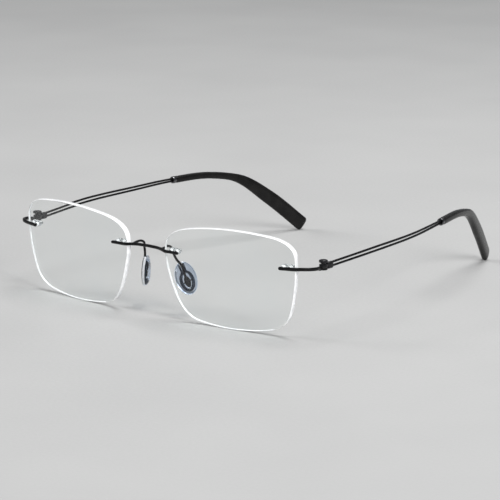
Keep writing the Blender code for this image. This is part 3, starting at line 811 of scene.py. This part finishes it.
def make_ferrule(side, name, looks):
    """A ring with rounded rims, open in the middle for the wires."""
    start, end = FERRULE
    long = end - start
    turns = np.linspace(0, math.pi, FERRULE_STEPS)
    line = part_of_line(temple_line(), [start + long / 2 * (1 - math.cos(t)) for t in turns])
    shares = [FERRULE_END + (1 - FERRULE_END) * math.sin(t) ** FERRULE_BULGE for t in turns]
    size = [2 * FERRULE_RADIUS * share for share in shares]
    bore_depths = np.linspace(start - PAST, end + PAST, FERRULE_BORE_STEPS)
    bore = tube(part_of_line(temple_line(), bore_depths), TIP_BORE)
    bm = cut(sweep(line, size, size, ROUND_SIDES), bore)
    piece(name, mirrored(bm, side), (looks["ferrule"],), body_of_temple(side))


def make_tip(side, name, looks):
    """Moulded tip: round at its mouth, bent down behind the ear, flattened, with a soft end."""
    whole = temple_line()
    end = whole[-1, 1]
    mouth = [TIP_START + TIP_MOUTH_ROUND * s for s in TIP_MOUTH_STEPS]
    body = np.linspace(TIP_START + TIP_MOUTH_ROUND, end - TIP_END_ROUND, TIP_STEPS)
    turns = np.linspace(TIP_END_START, 1, TIP_END_STEPS) * math.pi / 2
    last = [end - TIP_END_ROUND * (1 - math.sin(t)) for t in turns]
    line = part_of_line(whole, [*mouth, *body, *last])
    depths, highs, wides = smooth_line(TIP_SIZES, TIP_SIZE_STEPS).T
    high = np.interp(line[:, 1], depths, highs)
    wide = np.interp(line[:, 1], depths, wides)
    from_mouth = np.clip((line[:, 1] - TIP_START) / TIP_MOUTH_ROUND, 0, 1)
    from_end = np.clip((end - line[:, 1]) / TIP_END_ROUND, 0, 1)
    drawn_in = 2 * TIP_MOUTH_ROUND * (1 - np.sqrt(1 - (1 - from_mouth) ** 2))
    drawn_in += 2 * TIP_END_ROUND * (1 - np.sqrt(1 - (1 - from_end) ** 2))
    bore = part_of_line(whole, np.linspace(TIP_START - PAST, TIP_BORE_END, TIP_BORE_STEPS))
    wide = np.maximum(wide - drawn_in, TIP_LEAST_WIDE)
    bm = cut(sweep(line, wide, high - drawn_in, ROUND_SIDES, power=TIP_SQUARE), tube(bore, TIP_BORE))
    piece(name, mirrored(bm, side), (looks["tip"],), body_of_temple(side))


# Nose pads, shaped as (width, depth, height) and then placed
def pad_frame():
    up = Vector(PAD_UP).normalized()
    splay = math.radians(PAD_SPLAY)
    face = Vector((-math.cos(splay), math.sin(splay), 0))
    face = (face - up * face.dot(up)).normalized()
    across = face.cross(up)
    turn = Matrix((across, face, up)).transposed().to_4x4()
    return Matrix.Translation(PAD_CENTRE) @ turn


def keyhole(wide, low, high, neck, top):
    """A loop outline with a straight neck rising from it."""
    middle = (low + high) / 2
    half = (high - low) / 2
    open_half = math.asin(min(1.0, neck / wide))
    turns = np.linspace(math.pi / 2 + open_half, 5 * math.pi / 2 - open_half, KEYHOLE_STEPS)
    loop = [(wide / 2 * math.cos(t), middle + half * math.sin(t)) for t in turns]
    return [*loop, (neck / 2, top), (-neck / 2, top)]


def pad_body():
    """An oval cushion of silicone, fuller on the side that meets the nose."""
    rings = []
    for t in np.linspace(*PAD_TURNS, PAD_RINGS) * math.pi:
        depth = (PAD_FRONT if t < 0 else PAD_BACK) - PAD_WIDEST
        size = math.cos(t) ** (PAD_FRONT_POWER if t < 0 else PAD_BACK_POWER)
        level = PAD_WIDEST + depth * abs(math.sin(t)) ** PAD_DEPTH_POWER
        drawn_in = PAD_WIDE * (1 - size)
        outline = oval(PAD_WIDE - drawn_in, PAD_LONG - drawn_in, PAD_SIDES)
        rings.append([(a, level, b) for a, b in outline])
    return loft(rings)


def pad_body_name(side):
    return "pad_left" if side > 0 else "pad_right"


def make_pad(side, name, looks):
    """The pad, moulded round its insert, with a well for the box and a notch for the arm."""
    inner_wide = RING_WIDE - 2 * RING_BAND
    well = keyhole(inner_wide, RING_LOW + RING_BAND, RING_HIGH - RING_BAND, CHANNEL_WIDE, CUT_TOP)
    half = CHANNEL_WIDE / 2 + GAP / 4
    notch = box((-half, -CUT_REACH, NOTCH_START), (half, CUT_REACH, CUT_TOP))
    bm = cut(pad_body(), plate(well, -CUT_REACH, CHANNEL_FLOOR), notch)
    # Sideways faces round the rim get the painted highlight material
    for face in bm.faces:
        a, _, b = face.calc_center_median()
        in_painted_rim = math.hypot(a / PAD_WIDE, b / PAD_LONG) > PAD_PAINTED_RIM_START
        if in_painted_rim and abs(face.normal.y) < PAD_PAINTED_RIM_SLOPE:
            face.material_index = 1
    bm = mirrored(moved(bm, pad_frame()), side)
    piece(name, bm, (looks["pad_silicone"], looks["pad_rim_painted_highlight"]), pad_body_name(side))


def across_pad(radius, half, round_by=EDGE_ROUND):
    """A rounded pin along the rocking axis."""
    turn = Matrix.Rotation(math.radians(90), 4, "Y")
    return moved(disc(radius, -half, half, round_by), Matrix.Translation((0, *PAD_PIVOT)) @ turn)


def make_insert(side, name, looks):
    """The dark keyhole loop inside the pad, open at its top."""
    low, high = PAD_PIVOT[0] - RING_THICK / 2, PAD_PIVOT[0] + RING_THICK / 2

    def outline(by):
        return keyhole(RING_WIDE - 2 * by, RING_LOW + by, RING_HIGH - by, NECK_WIDE - 2 * by, NECK_TOP)

    inner_wide = RING_WIDE - 2 * RING_BAND
    inner = keyhole(inner_wide, RING_LOW + RING_BAND, RING_HIGH - RING_BAND, CHANNEL_WIDE, CUT_TOP)
    hole = across_pad(PAD_PIN_RADIUS + GAP, RING_WIDE)
    bm = cut(pillow(outline, low, high, RING_ROUND), plate(inner, -CUT_REACH, CUT_REACH), hole)
    bm = mirrored(moved(bm, pad_frame()), side)
    piece(name, bm, (looks["pad_insert"],), pad_body_name(side))


def make_pad_box(side, name, looks):
    """The oval box on the end of the arm, which the pad rocks on."""
    low, high = -BOX_THICK / 2, BOX_THICK / 2

    def outline(by):
        return oval(BOX_WIDE - 2 * by, BOX_LONG - 2 * by)

    block = pillow(outline, low, high, BOX_ROUND)
    moved(block, Matrix.Translation((0, *PAD_PIVOT)))
    bm = cut(block, across_pad(PAD_PIN_RADIUS + GAP, RING_WIDE))
    piece(name, mirrored(moved(bm, pad_frame()), side), (looks["frame_metal"],), "front")


def make_pad_pin(side, name, looks):
    bm = moved(across_pad(PAD_PIN_RADIUS, RING_WIDE / 2 - 3 * GAP, PAD_PIN_ROUND), pad_frame())
    piece(name, mirrored(bm, side), (looks["hinge_metal"],), "front")


def make_pad_arm(side, name, looks):
    """Wire soldered to the back of the bridge, that runs back and down into the pad's box."""
    foot = pad_frame() @ Vector((0, PAD_PIVOT[0], PAD_PIVOT[1] + BOX_LONG / 2 + GAP))
    mouth = pad_frame() @ Vector((0, PAD_PIVOT[0], NECK_TOP))
    line = smooth_line([*ARM_LINE, tuple(mouth), tuple(foot)], ARM_STEPS)
    ahead = line[1] - line[0]
    line[0] -= SOLDER_DEPTH * ahead / np.linalg.norm(ahead)
    size = 2 * ARM_RADIUS * np.ones(len(line))
    size[0] *= SOLDER_FLARE
    arm = sweep(line, size, size, hint=(1, 0, 0))
    piece(name, mirrored(arm, side), (looks["frame_metal"],), "front")


def make_side(side, word, looks):
    make_lens(side, f"lens_{word}", looks)
    make_sleeve(side, INNER_PINS, f"bridge_sleeve_{word}", looks)
    make_sleeve(side, OUTER_PINS, f"endpiece_sleeve_{word}", looks)
    make_endpiece(side, f"endpiece_{word}", looks)
    make_hinge_screw(side, f"hinge_screw_{word}", looks)
    make_washer(side, f"hinge_washer_{word}", looks)
    make_temple_block(side, f"temple_block_{word}", looks)
    make_wire(side, 1, f"temple_wire_upper_{word}", looks)
    make_wire(side, -1, f"temple_wire_lower_{word}", looks)
    make_ferrule(side, f"ferrule_{word}", looks)
    make_tip(side, f"temple_tip_{word}", looks)
    make_pad_arm(side, f"pad_arm_{word}", looks)
    make_pad_box(side, f"pad_box_{word}", looks)
    make_pad_pin(side, f"pad_pin_{word}", looks)
    make_insert(side, f"pad_insert_{word}", looks)
    make_pad(side, f"nose_pad_{word}", looks)


# Studio: a pale floor, soft lights and the camera, in metres
CAMERA_PLACE = (0.58234, -0.7474, 0.22471)
CAMERA_TARGET = (0.04741, -0.07606, 0.03095)
CAMERA_LENS = 181.6  # millimetres
CAMERA_ROLL = -0.07  # degrees
SENSOR_WIDTH = 36.0  # millimetres
FLOOR_HALF = 3.0
FLOOR_DROP = 0.0001
ROOM_COLOUR = (0.95, 0.97, 1.0, 1)
ROOM_STRENGTH = 0.25
LAMPS = (  # name, place, aim, width and height, watts, and whether gloss mirrors it
    ("overhead", (0.1, 0.25, 1.1), (0, 0, 0), (0.7, 0.45), 12.0, True),
    ("right", (2.4, -0.64, 1.2), (0, 0, 0), (0.96, 1.6), 82.0, False),
    ("left", (-2.4, -0.96, 1.2), (0, 0, 0), (0.96, 1.6), 56.0, False),
    ("low_front", (0.7, -2.3, 0.35), (0, 0, 0.02), (1.6, 0.35), 24.0, False),
)


def make_floor():
    half = FLOOR_HALF
    mesh = bpy.data.meshes.new("floor")
    corners = [(-half, -half, 0), (half, -half, 0), (half, half, 0), (-half, half, 0)]
    mesh.from_pydata(corners, [], [(0, 1, 2, 3)])
    mesh.materials.append(finish_of(
        "pale_floor", (0.345, 0.345, 0.343), (0.365, 0.365, 0.362), (0.5, 0.62), 90.0, 1.2, 0.02,
        Specular_IOR_Level=0.3,
    ))
    floor = bpy.data.objects.new("floor", mesh)
    floor.location.z = -FLOOR_DROP
    bpy.context.collection.objects.link(floor)


def soft_light(name, place, aim, size, power, mirrored_in_gloss):
    data = bpy.data.lights.new(name, "AREA")
    data.shape = "RECTANGLE"
    data.size, data.size_y = size
    data.energy = power
    lamp = bpy.data.objects.new(name, data)
    lamp.location = place
    lamp.rotation_euler = (Vector(aim) - Vector(place)).to_track_quat("-Z", "Y").to_euler()
    lamp.visible_glossy = mirrored_in_gloss
    bpy.context.collection.objects.link(lamp)


def light_room():
    world = bpy.data.worlds.new("room")
    world.use_nodes = True
    backdrop = world.node_tree.nodes["Background"]
    backdrop.inputs["Color"].default_value = ROOM_COLOUR
    backdrop.inputs["Strength"].default_value = ROOM_STRENGTH
    bpy.context.scene.world = world
    for lamp in LAMPS:
        soft_light(*lamp)


def aim_camera():
    data = bpy.data.cameras.new("camera")
    data.lens = CAMERA_LENS
    data.sensor_width = SENSOR_WIDTH
    camera = bpy.data.objects.new("camera", data)
    ahead = Vector(CAMERA_TARGET) - Vector(CAMERA_PLACE)
    roll = Matrix.Rotation(math.radians(CAMERA_ROLL), 4, "Z")
    turn = ahead.to_track_quat("-Z", "Y").to_matrix().to_4x4()
    camera.matrix_world = Matrix.Translation(CAMERA_PLACE) @ turn @ roll
    bpy.context.collection.objects.link(camera)
    bpy.context.scene.camera = camera


def main():
    looks = make_materials()
    make_bridge(looks)
    make_side(1, "left", looks)
    make_side(-1, "right", looks)
    make_floor()
    light_room()
    aim_camera()
    bpy.context.scene.view_settings.view_transform = "Standard"


main()
